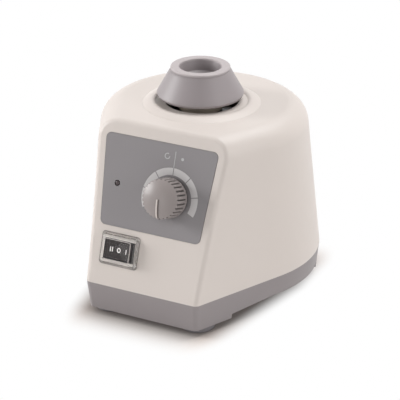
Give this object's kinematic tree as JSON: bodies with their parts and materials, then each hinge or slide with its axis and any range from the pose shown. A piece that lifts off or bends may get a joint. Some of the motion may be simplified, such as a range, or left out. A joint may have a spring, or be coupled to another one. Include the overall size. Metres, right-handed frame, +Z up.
{
  "type": "vortex mixer",
  "caption": "Compact laboratory vortex mixer: drafted teardrop housing on a weighted base, sloping control panel, and a rubber cup that orbits on an eccentric when pressed.",
  "frame": {"origin": "on the ground under the motor axis, at the middle of the footprint", "axes": "+Z up along the motor axis, -Y towards the control panel, +X to the right seen from the panel"},
  "size_m": [0.1306, 0.148, 0.13],
  "materials": {
    "housing_plastic": "fine satin moulding texture",
    "base_plastic": "fine satin moulding texture",
    "label_film": "printed satin film",
    "cup_rubber": "matt moulded rubber",
    "knob_plastic": "satin moulding",
    "rocker_plastic": "satin black",
    "black_plastic": "matt black",
    "clear_cover": "clear flexible cover",
    "lamp_lens": "dark lens",
    "foot_rubber": "matt rubber",
    "black_rubber": "matt rubber",
    "steel": "plain steel",
    "iron": "rough casting",
    "bracket_alloy": "die casting",
    "winding": "varnished copper wire",
    "brass": "plain",
    "board_laminate": "green board"
  },
  "bodies": {
    "housing": {"upper_housing": "housing_plastic", "base_tray": "base_plastic", "base_screws": "steel", "ballast_plate": "iron", "guide_posts": "steel", "vibration_dampers": "black_rubber", "control_label": "label_film", "indicator_lamp": "lamp_lens", "pot_body": "black_plastic", "pot_nut": "steel", "switch_body": "black_plastic", "switch_terminals": "brass", "switch_cover": "clear_cover", "control_board": "board_laminate", "board_components": "black_plastic", "mains_inlet": "black_plastic", "inlet_pins": "brass", "press_switch_body": "black_plastic", "front_left_foot": "foot_rubber", "front_right_foot": "foot_rubber", "rear_left_foot": "foot_rubber", "rear_right_foot": "foot_rubber"},
    "motor_carriage": {"motor_plate": "steel", "lower_bracket": "bracket_alloy", "upper_bracket": "bracket_alloy", "lower_bush": "brass", "upper_bush": "brass", "stator_stack": "steel", "stator_coils": "winding", "motor_bolts": "steel"},
    "rotor": {"rotor_core": "steel", "motor_shaft": "steel", "eccentric_hub": "steel", "clamp_screw": "steel", "bearing_screw": "steel", "bearing_inner_race": "steel"},
    "mixing_head": {"bearing_outer_race": "steel", "bearing_balls": "steel", "head_hub": "black_plastic", "cup": "cup_rubber"},
    "press_lever": {"press_switch_lever": "steel"},
    "knob": {"pot_shaft": "steel", "speed_knob": "knob_plastic"},
    "rocker": {"switch_rocker": "rocker_plastic"}
  },
  "joints": [
    {"name": "head_press", "type": "slide", "parent": "housing", "child": "motor_carriage", "axis": [0, 0, -1], "range_m": [0, 0.0015], "stiffness_N_per_m": 4000, "springref_m": -0.0045, "deforming": ["vibration_dampers"]},
    {"name": "motor_spin", "type": "hinge", "parent": "motor_carriage", "child": "rotor", "pos_m": [0, 0, 0.051], "axis": [0, 0, 1], "continuous": true},
    {"name": "head_orbit", "type": "hinge", "parent": "rotor", "child": "mixing_head", "pos_m": [-0.00153, 0.00129, 0.1056], "axis": [0, 0, 1], "continuous": true},
    {"name": "press_switch_lever", "type": "hinge", "parent": "housing", "child": "press_lever", "pos_m": [-0.046, 0.008, 0.0328], "axis": [1, 0, 0], "range_deg": [0, 6]},
    {"name": "speed_knob", "type": "hinge", "parent": "housing", "child": "knob", "pos_m": [0.009, -0.05639, 0.07365], "axis": [0, 0.9489, -0.3156], "range_deg": [0, 290]},
    {"name": "power_rocker", "type": "hinge", "parent": "housing", "child": "rocker", "pos_m": [-0.0166, -0.06576, 0.04041], "axis": [0, 0.3156, 0.9489], "range_deg": [-8, 8]}
  ],
  "couplings": [
    {"joint": "head_orbit", "follows": "motor_spin", "ratio": -1},
    {"joint": "press_switch_lever", "follows": "head_press", "rad_per_m": 62.5}
  ]
}
